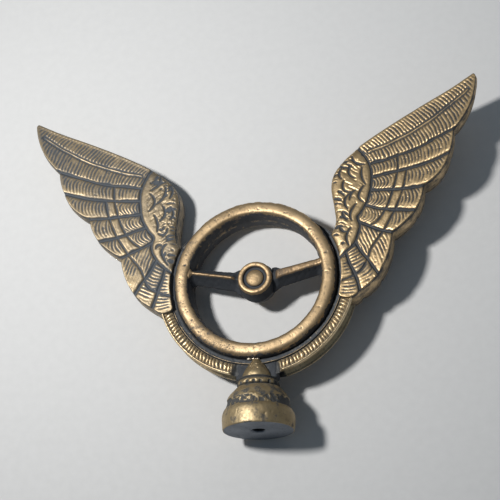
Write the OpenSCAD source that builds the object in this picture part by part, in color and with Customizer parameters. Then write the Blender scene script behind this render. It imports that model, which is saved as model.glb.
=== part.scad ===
// Winged steering-wheel hood ornament, built up from cast and turned brass pieces.
// X runs to the right, Z up, and the front faces -Y.
// The origin is the centre of the flat underside of the bell base.

/* [Wheel] */
// Height of the wheel centre above the underside of the base
wheel_z = 61; // [56:0.5:66]
// Radius of the rim centre line
rim_r = 30; // [28:0.5:31]
// Half thickness of the rim, measured outwards
rim_half_w = 3.2; // [2.6:0.1:3.6]
// Half depth of the rim, front to back
rim_half_d = 7.2; // [6:0.1:8]
// Radius of the front face of the hub
hub_face_r = 6.9; // [6:0.1:7.5]
// Radius of the hub at the parting plane
hub_mid_r = 8.2; // [7.6:0.1:9]
// Half depth of the hub
hub_half_d = 5.8; // [5:0.1:6.5]
// Radius of the domed button
button_r = 3.4; // [3:0.1:3.8]
// Height of the button dome above the hub face
button_proud = 0.5; // [0.2:0.1:1]
// Radius of the shank that the buttons are riveted on
shank_r = 1.5; // [1.2:0.1:1.8]

/* [Spokes] */
// Height of the spoke crest above the wheel centre, at the rim
spoke_rise = 4.9; // [4:0.1:6]
// Half height of a spoke at the parting plane, at the rim
spoke_half_h = 3.4; // [3:0.1:4]
// Half width of the flat crest, at the rim
crest_half = 1.2; // [0.8:0.1:1.6]
// Radius of the tenon that enters the rim
tenon_r = 1.6; // [1.2:0.1:2]

/* [Cradle] */
// Inner radius of the ribbed field
rib_in_r = 35.6; // [35:0.1:36.5]
// Inner radius of the plain outer lip
lip_in_r = 39.3; // [38:0.1:39.4]
// Outer radius of the cradle
cradle_r = 40.4; // [40:0.1:41.5]
// Half depth of the cradle
cradle_half_d = 5; // [4:0.1:5.6]
// Half depth of the hoop between the cradle and the rim
hoop_half_d = 4.2; // [3:0.1:4.4]
// Angle of each ribbed arm, measured from straight down
arm_angle = 73; // [68:0.5:76]
// Angle of the upper end of the hoop, measured from straight down
hoop_angle = 117; // [112:0.5:119]
// Number of ribs on each arm and each face
rib_count = 26; // [20:1:30]
// Half width of the plain web over the pedestal
web_half_w = 8.1; // [7.5:0.1:8.5]
// Half depth of the plain web
web_half_d = 4.2; // [4:0.1:5]

/* [Wings] */
// Half depth of a wing at its root
wing_half_d = 6; // [5:0.1:6.5]
// How far a wing tip leans forward of the root
wing_sweep = 10.5; // [6:0.1:12]
// How much thinner the wing is at its tip, on each face
wing_thinning = 2.5; // [1.5:0.1:3]
// Depth of the grooves between feathers
groove_depth = 0.8; // [0.4:0.1:1.2]
// Width of the grooves between feathers
groove_w = 1; // [0.6:0.1:1.4]
// Radius of the dowels that hold a wing on the hoop
dowel_r = 1.25; // [1:0.05:1.5]

/* [Pedestal] */
// Radius of the flat underside
base_r = 13.6; // [13:0.1:14]
// Largest radius of the bell
bell_r = 14.2; // [14.1:0.1:15]
// Radius of the bell where the collar sits
bell_top_r = 8.7; // [8.4:0.1:9]
// Height of the bell
bell_h = 17; // [16:0.1:18]
// Height of the top of the collar
collar_top = 20.2; // [19.6:0.1:20.4]
// Tapping radius of the mounting hole, for an M6 thread
mount_r = 2.5; // [2.5:0.05:2.6]
// Depth of the mounting hole
mount_depth = 9.5; // [8:0.5:10]
// Radius of the plain-drawn M5 tie stud
stud_r = 2.1; // [2:0.05:2.2]

/* [Hidden] */

eps = 0.01;
round_fn = 96;
ring_fn = 160;
far = 120;
brass = [0.74, 0.62, 0.42];
dark_brass = [0.55, 0.47, 0.33];
steel = [0.55, 0.56, 0.58];
solder = [0.78, 0.77, 0.72];

parting_land = 0.4;
hoop_in_r = rim_r + rim_half_w + 0.02;
hub_recess = 1.1;
hub_groove_r = 5;
hub_tilt = 0.6;
spoke_in_x = 7.5;
spoke_out_x = rim_r - rim_half_w + 1;
tenon_len = 2;
stud_bottom = mount_depth;
stud_top = collar_top + 4.6;
pin_bottom = stud_top + 0.6;
pin_top = wheel_z - rim_r + 1;
pin_r = 1.5;
dowel_angles = [99, 80];
dowel_in = rim_r + rim_half_w + 0.5;
dowel_out = 41;
spur_base_r = 6.1;
spur_base_y = 1.8;
spur_mid_r = 4.6;
spur_mid_y = 2.6;
spur_mid_z = 24.4;
spur_tip_r = 1.6;
spur_tip_y = 3.6;
spur_tip_z = 28;
countersink = 0.7;
rib_h = 0.8;

// ---- curves ----

// Points along the arc from a to b that bulges to the right of the direction of travel;
// the last point is left out so that arcs can be joined.
function arc_points(a, b, bulge, n = 6) =
    let (chord = b - a)
    let (len = norm(chord))
    let (side = [chord[1], -chord[0]] / len)
    [for (i = [0 : n - 1]) let (t = i / n) a + chord * t + side * bulge * 4 * t * (1 - t)];

function catmull(p0, p1, p2, p3, t) =
    0.5 * (2 * p1 + (p2 - p0) * t + (2 * p0 - 5 * p1 + 4 * p2 - p3) * t * t
    + (3 * p1 - p0 - 3 * p2 + p3) * t * t * t);

function clamp_i(i, n) = max(0, min(n - 1, i));

// A smooth line through the points of p, with n steps in each span
function smooth(p, n = 3) =
    let (c = len(p))
    concat([for (i = [0 : c - 2], j = [0 : n - 1])
        catmull(p[clamp_i(i - 1, c)], p[i], p[i + 1], p[clamp_i(i + 2, c)], j / n)], [p[c - 1]]);

function polar(r, down_angle) = [r * sin(down_angle), -r * cos(down_angle)];

// A strip of width w that follows the points of p
module strip(p, w) {
    for (i = [0 : len(p) - 2]) {
        run = p[i + 1] - p[i];
        side = [-run[1], run[0]] / norm(run) * w / 2;
        ahead = run / norm(run) * w / 5;
        polygon([p[i] + side - ahead, p[i] - side - ahead, p[i + 1] - side + ahead, p[i + 1] + side + ahead]);
    }
}

// Stands a front view, drawn about the wheel centre, up along Y
module front_view(half_d) {
    translate([0, half_d, wheel_z])
        rotate([90, 0, 0])
            linear_extrude(height = 2 * half_d)
                children();
}

// ---- wing shape ----

// Trailing edge: the start of each feather tip and how far the tip bulges,
// from the cradle upwards. The last point is the tip of the long first feather.
feather_tips = [[33.8, -11.3], [42.2, -9.7], [49.8, -3.5], [56, 13.3], [65.2, 20.5],
                [69.6, 31.2], [80.7, 43.3], [82.9, 53], [93.3, 72.8]];
tip_bulge = [1.7, 0.6, 1.3, 0.6, 0.9, 2, 0.5, 2.1];

// Leading edge, from the tip round the shoulder to the hoop
leading_edge = [[92.5, 76.1], [91.3, 75.9], [82, 71.5], [72, 67.4], [60, 61.9], [47.5, 55.2],
                [38.4, 48.9], [33, 42.4], [31.5, 36.2], [32.2, 29.5], [33, 22.5], [32.4, 18.6]];

root_angles = [for (a = [117 : -4.4 : 73]) a];

// Radius that the wing roots reach in to, over the front and the back of the hoop
root_r = rib_in_r - 1.1;
gusset_half_d = 3;

wing_outline = concat(
    [for (i = [0 : len(tip_bulge) - 1]) each arc_points(feather_tips[i], feather_tips[i + 1], tip_bulge[i])],
    [feather_tips[8], [93.5, 74.5], [93.2, 75.5]],
    smooth(leading_edge),
    [for (a = root_angles) polar(root_r - 0.2, a)]);

// Grooves between the feathers, from the trailing edge to the shoulder
feather_grooves = [
    [[83.4, 53.6], [75, 50.7], [66, 47.5], [58, 45.9], [48.6, 44.3]],
    [[81, 43.6], [75, 41.8], [68.3, 40.3], [60.3, 39.4], [48.8, 38.4]],
    [[70.4, 31.3], [62, 31.3], [56, 31.8], [48, 32.5]],
    [[66, 21], [59, 22.2], [52.5, 23.8], [45.6, 26.2]],
    [[56.8, 13], [49.5, 15.9], [42.8, 19.4]],
    [[50.2, -4.4], [46, 2.6], [43, 7], [41.2, 10.6]],
    [[42.4, -10.4], [40.4, -3.6], [38.4, 1.8], [37.2, 7]]];

// The shaft of the first feather
rachis = [[89.5, 69.4], [82, 64.2], [74, 59.6], [66, 55.6], [58, 52.6], [48, 49.8]];

// The line where the shoulder scales end and the feathers begin
covert_edge = [[42.6, 53.4], [46.2, 47.8], [48, 43.2], [48.4, 38.5], [48, 33.5], [46.6, 28.8],
               [44.2, 24.4], [42.2, 21.6], [42.9, 18], [42.1, 14.2], [39.6, 9.6], [34.4, 5.4]];

// The two rows of secondary feather tips
outer_row = [[62.8, 39.4], [61.6, 33], [58.4, 24.6], [52.8, 15], [47.6, 8.4], [43.4, -0.6], [35.2, -4.6]];
inner_row = [[59.6, 45.8], [58.9, 38], [55.8, 28], [51.2, 20], [46.6, 17]];

// Plan view of the wing between two arcs, thick at the root and thin at the tip, leaning forward.
// Skin is the depth taken off the front and the back.
module wing_plan(skin) {
    reach = 62;
    front_drop = wing_sweep - wing_thinning;
    back_drop = wing_sweep + wing_thinning;
    front_r = (reach * reach + front_drop * front_drop) / (2 * front_drop);
    back_r = (reach * reach + back_drop * back_drop) / (2 * back_drop);
    intersection() {
        difference() {
            translate([rim_r, wing_half_d - back_r])
                circle(r = back_r - skin, $fn = 720);
            translate([rim_r, -wing_half_d - front_r])
                circle(r = front_r + skin, $fn = 720);
        }
        translate([rim_r - 6, -60])
            square([80, 120]);
    }
}

module wing_slab(skin) {
    translate([0, 0, wheel_z - 20])
        linear_extrude(height = far)
            wing_plan(skin);
}

module wing_grooves() {
    for (g = feather_grooves) strip(g, groove_w);
    strip(rachis, groove_w * 0.8);
    strip(covert_edge, groove_w * 1.3);
    strip(outer_row, groove_w * 0.8);
    strip(inner_row, groove_w * 0.8);
}

module wing_body() {
    intersection() {
        wing_slab(groove_depth);
        front_view(30) polygon(wing_outline);
    }
    intersection() {
        wing_slab(0);
        front_view(30) difference() {
            polygon(wing_outline);
            wing_grooves();
        }
    }
}

module dowel_set() {
    for (a = dowel_angles)
        translate([0, 0, wheel_z])
            rotate([0, 180 - a, 0])
                translate([0, 0, dowel_in])
                    cylinder(r = dowel_r, h = dowel_out - dowel_in, $fn = round_fn);
}

module right_wing_shape() {
    difference() {
        wing_body();
        front_view(30) circle(r = root_r, $fn = ring_fn);
        front_view(hoop_half_d) circle(r = rib_in_r, $fn = ring_fn);
        dowel_set();
    }
}

// ---- wheel ----

// Section of the rim: rounded front and back, widest at a narrow land on the parting plane
module rim_section() {
    crown_r = rim_half_w - 0.3;
    crown_y = rim_half_d - crown_r;
    for (s = [-1, 1])
        translate([rim_r, s * crown_y])
            circle(r = crown_r, $fn = round_fn);
    translate([rim_r, 0])
        polygon([[rim_half_w, parting_land], [crown_r, crown_y], [-crown_r, crown_y],
                 [-rim_half_w, parting_land], [-rim_half_w, -parting_land],
                 [-crown_r, -crown_y], [crown_r, -crown_y], [rim_half_w, -parting_land]]);
}

module rim_solid() {
    translate([0, 0, wheel_z])
        rotate([90, 0, 0])
            rotate([0, 0, 45])
                rotate_extrude($fn = ring_fn)
                    rim_section();
}

// Section of a spoke at distance x from the centre, seen along X
module spoke_section(x) {
    t = (x - spoke_in_x) / (spoke_out_x - spoke_in_x);
    z = wheel_z + hub_tilt + (spoke_rise - hub_tilt) * t;
    h = hub_mid_r * 0.5 * (1 - t) + spoke_half_h * t;
    c = crest_half * (0.7 + 0.3 * t);
    d = hub_half_d - 0.3;
    translate([x, 0, z])
        rotate([90, 0, 90])
            linear_extrude(height = eps)
                polygon([[-d, -c], [0, -h], [d, -c], [d, c], [0, h], [-d, c]]);
}

module tenon() {
    translate([spoke_out_x - 1.6, 0, wheel_z + spoke_rise])
        rotate([0, 90, 0])
            cylinder(r = tenon_r, h = tenon_len + 1.2, $fn = round_fn);
}

module spoke() {
    difference() {
        hull() {
            spoke_section(spoke_in_x - 3);
            spoke_section(spoke_out_x);
        }
        rim_solid();
    }
    tenon();
}

module hub_blank() {
    translate([0, 0, wheel_z])
        rotate([90, 0, 0])
            rotate_extrude($fn = round_fn)
                polygon([[0, -hub_half_d], [hub_face_r - 0.5, -hub_half_d], [hub_face_r, 0.4 - hub_half_d],
                         [hub_mid_r, 0], [hub_face_r, hub_half_d - 0.4], [hub_face_r - 0.5, hub_half_d],
                         [0, hub_half_d]]);
}

module hub_recesses() {
    for (s = [-1, 1])
        translate([0, s * hub_half_d, wheel_z])
            rotate([90, 0, 0])
                cylinder(r = hub_groove_r, h = 2 * hub_recess, center = true, $fn = round_fn);
    translate([0, 0, wheel_z])
        rotate([90, 0, 0])
            cylinder(r = shank_r, h = far, center = true, $fn = round_fn);
}

// Button head: a straight cheek under a dome, with the flat face at y = 0
module button_head() {
    cheek = hub_recess * 0.5;
    rise = hub_recess + button_proud - cheek;
    dome_r = (button_r * button_r + rise * rise) / (2 * rise);
    steps = 8;
    rotate([90, 0, 0])
        rotate_extrude($fn = round_fn)
            polygon(concat([[0, 0], [button_r, 0]],
                [for (i = [0 : steps]) let (x = button_r * (1 - i / steps))
                    [x, cheek + rise - dome_r + sqrt(dome_r * dome_r - x * x)]]));
}

// ---- cradle ----

// Part of a ring between two angles on each side of straight down
module fan(r_in, r_out, from_angle, to_angle) {
    steps = 18;
    step = (to_angle - from_angle) / steps;
    for (s = [-1, 1])
        polygon(concat(
            [for (i = [0 : steps]) let (p = polar(r_out, from_angle + i * step)) [s * p[0], p[1]]],
            [for (i = [steps : -1 : 0]) let (p = polar(r_in, from_angle + i * step)) [s * p[0], p[1]]]));
}

module ring_sector(r_in, r_out, half_d, angle) {
    intersection() {
        translate([0, half_d, wheel_z])
            rotate([90, 0, 0])
                difference() {
                    cylinder(r = r_out, h = 2 * half_d, $fn = ring_fn);
                    translate([0, 0, -1])
                        cylinder(r = r_in, h = 2 * half_d + 2, $fn = ring_fn);
                }
        front_view(half_d + 1) fan(10, 60, 0, angle);
    }
}

module ribs() {
    first = asin(web_half_w / rib_in_r) + 1.2;
    pitch = (arm_angle - 1 - first) / (rib_count - 1);
    for (side = [-1, 1], face = [-1, 1], i = [0 : rib_count - 1])
        translate([0, face * (cradle_half_d - rib_h), wheel_z])
            rotate([0, side * (180 - first - i * pitch), 0])
                translate([0, 0, (rib_in_r + lip_in_r) / 2 + 0.2])
                    rotate([0, 0, 45])
                        cube([1.05, 1.05, lip_in_r - rib_in_r + 0.8], center = true);
}

// The ribbed arms, cut back to make room for the wing roots and to lie flush with the web
module arms() {
    difference() {
        union() {
            ring_sector(rib_in_r - eps, lip_in_r, cradle_half_d - rib_h, arm_angle);
            ring_sector(lip_in_r - eps, cradle_r, cradle_half_d, arm_angle);
            ribs();
        }
        for (side = [0, 1])
            mirror([side, 0, 0])
                front_view(cradle_half_d + 1) intersection() {
                    polygon(wing_outline);
                    translate([rim_r, -20]) square(40);
                }
        for (face = [0, 1])
            mirror([0, face, 0])
                translate([-web_half_w, web_half_d, collar_top])
                    cube([2 * web_half_w, 10, 13]);
    }
}

// Flat gusset that fills the corner between the rim and the top of a wing root
module root_gusset() {
    front_view(gusset_half_d) difference() {
        polygon([[20.5, 26.7], [32.4, 18.6], [31.33, 16.84], [28, 15]]);
        circle(r = hoop_in_r, $fn = ring_fn);
    }
}

module cradle_web() {
    difference() {
        translate([-web_half_w, -web_half_d, collar_top])
            cube([2 * web_half_w, 2 * web_half_d, 13]);
        translate([0, web_half_d + 1, wheel_z])
            rotate([90, 0, 0])
                cylinder(r = hoop_in_r, h = 2 * web_half_d + 2, $fn = ring_fn);
    }
}

// ---- pedestal ----

bell_profile = concat(
    [[0, 0], [base_r, 0]],
    smooth([[base_r, 0], [base_r + 0.35, 0.5], [bell_r, 4.4], [bell_r - 0.3, 6.6], [bell_r - 1.1, 8]], 3),
    [[bell_r - 1.5, 8.3], [bell_r - 2.2, 11.3]],
    smooth([[bell_r - 2, 11.6], [bell_r - 2.9, 13.7], [bell_top_r + 1, 15.6], [bell_top_r, bell_h]], 3),
    [[0, bell_h]]);

collar_profile = [[0, bell_h], [bell_top_r - 0.7, bell_h], [bell_top_r - 0.2, bell_h + 0.5],
                  [bell_top_r - 0.3, bell_h + 1.4], [bell_top_r - 0.8, bell_h + 2.2],
                  [bell_top_r - 1.3, bell_h + 2.4], [bell_top_r - 1.3, bell_h + 2.7],
                  [bell_top_r - 0.8, collar_top - 0.2], [bell_top_r - 0.8, collar_top], [0, collar_top]];

module axial_bore(r, from_z, to_z) {
    translate([0, 0, from_z])
        cylinder(r = r, h = to_z - from_z, $fn = round_fn);
}

module spur_shape() {
    difference() {
        hull() {
            translate([0, -spur_base_y, collar_top])
                cylinder(r = spur_base_r, h = eps, $fn = 32);
            translate([0, -spur_mid_y, spur_mid_z])
                cylinder(r = spur_mid_r, h = eps, $fn = 32);
            translate([0, -spur_tip_y, spur_tip_z])
                cylinder(r = spur_tip_r, h = 1.5, $fn = 32);
        }
        translate([-20, -web_half_d, 0])
            cube([40, 40, 60]);
        rim_solid();
    }
}

// Bead of solder in the corner between a spur and the rim
module fillet_bead() {
    difference() {
        translate([-0.8, -spur_tip_y - spur_tip_r - 0.2, wheel_z - rim_r - 2.9])
            rotate([0, 90, 0])
                cylinder(r = 0.9, h = 5, center = true, $fn = 32);
        rim_solid();
        spur_shape();
    }
}

// ---- nodes ----

module bell_base() color(brass) {
    difference() {
        rotate_extrude($fn = ring_fn) polygon(bell_profile);
        axial_bore(mount_r, -1, mount_depth);
        axial_bore(stud_r, mount_depth - eps, bell_h + 1);
        translate([0, 0, -eps])
            cylinder(r1 = mount_r + countersink, r2 = mount_r, h = countersink, $fn = round_fn);
    }
}

module stem_collar() color(brass) {
    flutes = 20;
    difference() {
        rotate_extrude($fn = ring_fn) polygon(collar_profile);
        axial_bore(stud_r, bell_h - 1, collar_top + 1);
        for (i = [0 : flutes - 1])
            rotate([0, 0, i * 360 / flutes])
                translate([bell_top_r + 0.2, 0, bell_h - 1])
                    cylinder(r = 0.75, h = 2.4, $fn = 24);
    }
}

module tie_stud() color(steel) {
    axial_bore(stud_r, stud_bottom, stud_top);
}

module ribbed_cradle() color(dark_brass) {
    difference() {
        union() {
            ring_sector(hoop_in_r, rib_in_r, hoop_half_d, hoop_angle);
            arms();
            cradle_web();
            root_gusset();
            mirror([1, 0, 0]) root_gusset();
        }
        axial_bore(stud_r, collar_top - 1, stud_top);
        axial_bore(pin_r, pin_bottom, pin_top);
        dowel_set();
        mirror([1, 0, 0]) dowel_set();
    }
}

module front_spur() color(brass) spur_shape();

module rear_spur() color(brass) mirror([0, 1, 0]) spur_shape();

module left_wing() color(brass) mirror([1, 0, 0]) right_wing_shape();

module right_wing() color(brass) right_wing_shape();

module wing_dowels() color(steel) {
    dowel_set();
    mirror([1, 0, 0]) dowel_set();
}

module wheel_rim() color(brass) {
    difference() {
        rim_solid();
        tenon();
        mirror([1, 0, 0]) tenon();
        axial_bore(pin_r, pin_bottom, pin_top);
    }
}

module wheel_spider() color(dark_brass) {
    difference() {
        union() {
            hub_blank();
            spoke();
            mirror([1, 0, 0]) spoke();
        }
        hub_recesses();
    }
}

module horn_button() color(brass) {
    translate([0, hub_recess - hub_half_d, wheel_z]) {
        button_head();
        rotate([-90, 0, 0])
            cylinder(r = shank_r, h = 2 * (hub_half_d - hub_recess), $fn = round_fn);
    }
}

module rear_button() color(brass) {
    translate([0, hub_half_d - hub_recess, wheel_z])
        mirror([0, 1, 0]) button_head();
}

module rim_pin() color(steel) {
    axial_bore(pin_r, pin_bottom, pin_top);
}

module solder_fillets() color(solder) {
    fillet_bead();
    mirror([0, 1, 0]) fillet_bead();
}

bell_base();
stem_collar();
tie_stud();
ribbed_cradle();
front_spur();
rear_spur();
left_wing();
right_wing();
wing_dowels();
wheel_rim();
wheel_spider();
horn_button();
rear_button();
rim_pin();
solder_fillets();
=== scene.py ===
"""Looks of the winged steering-wheel hood ornament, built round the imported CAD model.

Shapes are worked out in millimetres in the row frame, X to the right, Z up, front facing -Y,
and are scaled to metres when each mesh is made. WHEEL_Z is the height of the wheel centre.
"""

import functools
import math

import bmesh
import bpy
import numpy as np
from mathutils import Matrix, Vector
from mathutils.geometry import delaunay_2d_cdt


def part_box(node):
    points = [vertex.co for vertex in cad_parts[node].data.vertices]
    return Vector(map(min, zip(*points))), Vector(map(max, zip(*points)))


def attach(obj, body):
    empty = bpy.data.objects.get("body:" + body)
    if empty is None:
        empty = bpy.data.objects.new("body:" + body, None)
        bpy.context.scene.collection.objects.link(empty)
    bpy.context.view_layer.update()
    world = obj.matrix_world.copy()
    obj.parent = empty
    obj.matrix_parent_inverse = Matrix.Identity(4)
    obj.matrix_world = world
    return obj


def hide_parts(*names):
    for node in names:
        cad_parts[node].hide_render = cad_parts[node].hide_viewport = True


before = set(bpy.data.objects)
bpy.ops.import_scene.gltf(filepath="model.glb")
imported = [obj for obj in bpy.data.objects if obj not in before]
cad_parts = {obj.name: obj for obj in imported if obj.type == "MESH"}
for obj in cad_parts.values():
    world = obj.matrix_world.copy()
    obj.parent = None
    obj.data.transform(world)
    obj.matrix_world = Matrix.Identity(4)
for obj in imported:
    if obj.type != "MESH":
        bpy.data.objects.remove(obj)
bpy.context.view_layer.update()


MM = 0.001

# ---- measures of the CAD model, in millimetres ----

rim_low, rim_high = (np.array(c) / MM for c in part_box("wheel_rim"))
WHEEL_Z = float(rim_low[2] + rim_high[2]) / 2
RIM_HALF_D = float(rim_high[1])
RIM_HALF_W = 3.2
RIM_R = float(rim_high[0]) - RIM_HALF_W
CRADLE_R = float(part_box("ribbed_cradle")[1][0]) / MM
RIB_IN_R = 35.6
LIP_IN_R = 39.3
ROOT_R = RIB_IN_R - 1.1
HOOP_IN_R = RIM_R + RIM_HALF_W + 0.05
WING_HALF_D = 6.0
WING_SWEEP = 10.5
WING_THINNING = 2.5
WING_REACH = 62.0
COLLAR_TOP = float(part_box("stem_collar")[1][2]) / MM
BELL_TOP = float(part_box("bell_base")[1][2]) / MM
BELL_R = float(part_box("bell_base")[1][0]) / MM


# ---- noise ----

# In each call of noise, rough and pits the second value is the size of the lumps in millimetres
# and the third is the seed, so a piece has the same lumps in every run.


def noise(points, cell, seed):
    """Smooth noise between -1 and 1 at the points, on a lattice of the given cell size."""
    side = 32
    table = np.random.RandomState(seed).uniform(-1, 1, (side, side, side))
    scaled = points / cell
    base = np.floor(scaled).astype(int)
    part = scaled - base
    part = part * part * (3 - 2 * part)
    total = np.zeros(points.shape[:-1])
    for corner in np.ndindex(2, 2, 2):
        weight = np.prod(np.where(corner, part, 1 - part), axis=-1)
        at = (base + np.array(corner)) % side
        total += weight * table[at[..., 0], at[..., 1], at[..., 2]]
    return total


def rough(points, cell, seed, octaves=3):
    """Several sizes of noise added up."""
    total = np.zeros(points.shape[:-1])
    for k in range(octaves):
        total += noise(points, cell / 2**k, seed + k) / 2**k
    return total


def ramp(x, low, high):
    """0 on the far side of low, 1 beyond high, smooth in between. Low may be the larger one."""
    t = np.clip((x - low) / (high - low), 0, 1)
    return t * t * (3 - 2 * t)


def darkest(*stains):
    """The darkest of several stains at each point."""
    return functools.reduce(np.maximum, stains)


def hump(x, width):
    """1 where x is 0, falling away smoothly over the width."""
    return np.exp(-((x / width) ** 2))


def pits(points, cell, seed, share=0.62):
    """Casting pits: 1 in the middle of a pit, 0 on the sound metal."""
    return ramp(noise(points, cell, seed), share, share + 0.2)


# ---- meshes ----


def make_piece(name, points, faces, patina_and_painted_shade, material):
    """A mesh piece from points in millimetres, with how dark each point is as an attribute."""
    mesh = bpy.data.meshes.new(name)
    mesh.from_pydata([tuple(p) for p in points * MM], [], faces)
    mesh.validate()
    layer = mesh.attributes.new("patina_and_painted_shade", "FLOAT", "POINT")
    layer.data.foreach_set("value", np.clip(patina_and_painted_shade, 0, 1).astype(np.float32))
    work = bmesh.new()
    work.from_mesh(mesh)
    bmesh.ops.remove_doubles(work, verts=work.verts, dist=1e-7)
    bmesh.ops.recalc_face_normals(work, faces=work.faces)
    work.to_mesh(mesh)
    work.free()
    mesh.polygons.foreach_set("use_smooth", [True] * len(mesh.polygons))
    mesh.update()
    piece = bpy.data.objects.new(name, mesh)
    bpy.context.scene.collection.objects.link(piece)
    mesh.materials.append(material)
    return piece


def grid_faces(rows, cols, wrap_rows, wrap_cols):
    """Quads of a grid of points, row by row."""
    i = np.arange(rows if wrap_rows else rows - 1)[:, None]
    j = np.arange(cols if wrap_cols else cols - 1)[None, :]
    a = i * cols + j
    b = i * cols + (j + 1) % cols
    c = (i + 1) % rows * cols + (j + 1) % cols
    d = (i + 1) % rows * cols + j
    return np.stack(np.broadcast_arrays(a, b, c, d), axis=-1).reshape(-1, 4)


def grid_normals(points, wrap_rows, wrap_cols):
    """Unit normals of a grid of points: the run down the rows crossed with the run along a row."""

    def slope(axis, wrap):
        if wrap:
            return np.roll(points, -1, axis) - np.roll(points, 1, axis)
        return np.gradient(points, axis=axis)

    normal = np.cross(slope(0, wrap_rows), slope(1, wrap_cols))
    length = np.linalg.norm(normal, axis=-1, keepdims=True)
    return normal / np.maximum(length, 1e-9)


def outward_normals(points, core, wrap_rows, wrap_cols):
    """Unit normals of a grid of points, on the side away from the core."""
    normals = grid_normals(points, wrap_rows, wrap_cols)
    return normals if (normals * (points - core)).sum() > 0 else -normals


def grid_piece(name, points, patina_and_painted_shade, material, wrap_rows=False, wrap_cols=False, caps=False):
    """A piece from a grid of points. With caps, the first and the last row are closed by a fan."""
    rows, cols = points.shape[:2]
    faces = [tuple(f) for f in grid_faces(rows, cols, wrap_rows, wrap_cols).tolist()]
    flat = points.reshape(-1, 3)
    dark = np.broadcast_to(patina_and_painted_shade, (rows, cols)).reshape(-1)
    if caps:
        ends = [(0, flat[:cols], dark[:cols]), (rows - 1, flat[-cols:], dark[-cols:])]
        for row, ring, ring_dark in ends:
            centre = len(flat)
            flat = np.vstack([flat, ring.mean(0)])
            dark = np.append(dark, ring_dark.mean())
            for j in range(cols):
                pair = (row * cols + j, row * cols + (j + 1) % cols)
                faces.append((*(pair[::-1] if row == 0 else pair), centre))
    return make_piece(name, flat, faces, dark, material)


def resample(line, step, closed=False):
    """The line as evenly spaced points, about one step apart."""
    line = np.asarray(line, float)
    if closed:
        line = np.vstack([line, line[:1]])
    reach = np.append(0, np.cumsum(np.linalg.norm(np.diff(line, axis=0), axis=1)))
    count = max(2, int(round(reach[-1] / step)) + 1)
    at = np.linspace(0, reach[-1], count)
    if closed:
        at = at[:-1]
    return np.stack([np.interp(at, reach, line[:, k]) for k in range(line.shape[1])], axis=1)


def smooth_line(points, per_span=6):
    """A Catmull-Rom line through the points."""
    p = np.asarray(points, float)
    p = np.vstack([p[:1], p, p[-1:]])
    before, here, after, beyond = (p[k : len(p) - 3 + k, None] for k in range(4))
    t = (np.arange(per_span) / per_span)[None, :, None]
    square = 2 * before - 5 * here + 4 * after - beyond
    cube = 3 * here - before - 3 * after + beyond
    line = 0.5 * (2 * here + (after - before) * t + square * t**2 + cube * t**3)
    return np.vstack([line.reshape(-1, p.shape[1]), p[-1:]])


def bow(start, middle, end):
    """A smooth bow from the start over the middle to the end."""
    a, b, c = (np.asarray(p, float) for p in (start, middle, end))
    pull = 2 * b - (a + c) / 2
    t = np.linspace(0, 1, 15)[:, None]
    return a * (1 - t) ** 2 + 2 * pull * t * (1 - t) + c * t**2


BATCH = 4000  # points that are compared with a line at a time, which bounds the memory used


def near_line(points, line, closed=False):
    """Distance from each point to the line, how far along it that is, and its side (+1 left)."""
    a = np.asarray(line, float)
    b = np.roll(a, -1, axis=0) if closed else a[1:]
    a = a if closed else a[:-1]
    run = b - a
    length = np.linalg.norm(run, axis=1)
    start = np.append(0, np.cumsum(length))[:-1]
    far, along, side = (np.empty(len(points)) for _ in range(3))
    for first in range(0, len(points), BATCH):
        batch = slice(first, first + BATCH)
        p = points[batch, None, :] - a[None]
        t = np.clip((p * run).sum(-1) / (length**2), 0, 1)
        gap = p - t[..., None] * run
        d = np.linalg.norm(gap, axis=-1)
        k = d.argmin(1)
        r = np.arange(len(k))
        far[batch] = d[r, k]
        along[batch] = start[k] + t[r, k] * length[k]
        side[batch] = np.sign(run[k, 0] * p[r, k, 1] - run[k, 1] * p[r, k, 0])
    return far, along, side


def inside(points, loop):
    """True for the points inside a closed loop."""
    a, b = loop, np.roll(loop, -1, axis=0)
    rise = np.where(b[:, 1] == a[:, 1], 1e-12, b[:, 1] - a[:, 1])
    found = np.zeros(len(points), bool)
    for first in range(0, len(points), BATCH):
        p = points[first : first + BATCH]
        crosses = (a[:, 1] > p[:, 1:2]) != (b[:, 1] > p[:, 1:2])
        at = a[:, 0] + (p[:, 1:2] - a[:, 1]) * (b[:, 0] - a[:, 0]) / rise
        found[first : first + BATCH] = (crosses & (p[:, 0:1] < at)).sum(1) % 2 == 1
    return found


# ---- materials ----


GRAIN_DEPTH = 0.00006


def node(tree, kind, **settings):
    """A new node with these settings."""
    made = tree.nodes.new(kind)
    for key, value in settings.items():
        setattr(made, key, value)
    return made


def feed(tree, value, socket):
    """Joins an output socket to an input, or sets the input to a number or a colour."""
    if isinstance(value, bpy.types.NodeSocket):
        tree.links.new(value, socket)
    else:
        socket.default_value = (*value, 1) if isinstance(value, tuple) else value


def maths(tree, operation, a, b):
    """A clamped Math node; a and b are sockets or numbers."""
    made = node(tree, "ShaderNodeMath", operation=operation, use_clamp=True)
    feed(tree, a, made.inputs[0])
    feed(tree, b, made.inputs[1])
    return made.outputs[0]


def colour_mix(tree, factor, a, b):
    """A colour Mix node; a and b are sockets or colours."""
    made = node(tree, "ShaderNodeMix", data_type="RGBA")
    feed(tree, factor, made.inputs["Factor"])
    for name, value in (("A", a), ("B", b)):
        feed(tree, value, next(s for s in made.inputs if s.name == name and s.type == "RGBA"))
    return next(s for s in made.outputs if s.type == "RGBA")


def stretch(tree, value, low, high, to_low, to_high):
    """A clamped Map Range node that takes low to high to the other pair."""
    made = node(tree, "ShaderNodeMapRange", clamp=True)
    names = ("Value", "From Min", "From Max", "To Min", "To Max")
    for name, given in zip(names, (value, low, high, to_low, to_high)):
        feed(tree, given, made.inputs[name])
    return made.outputs[0]


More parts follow.
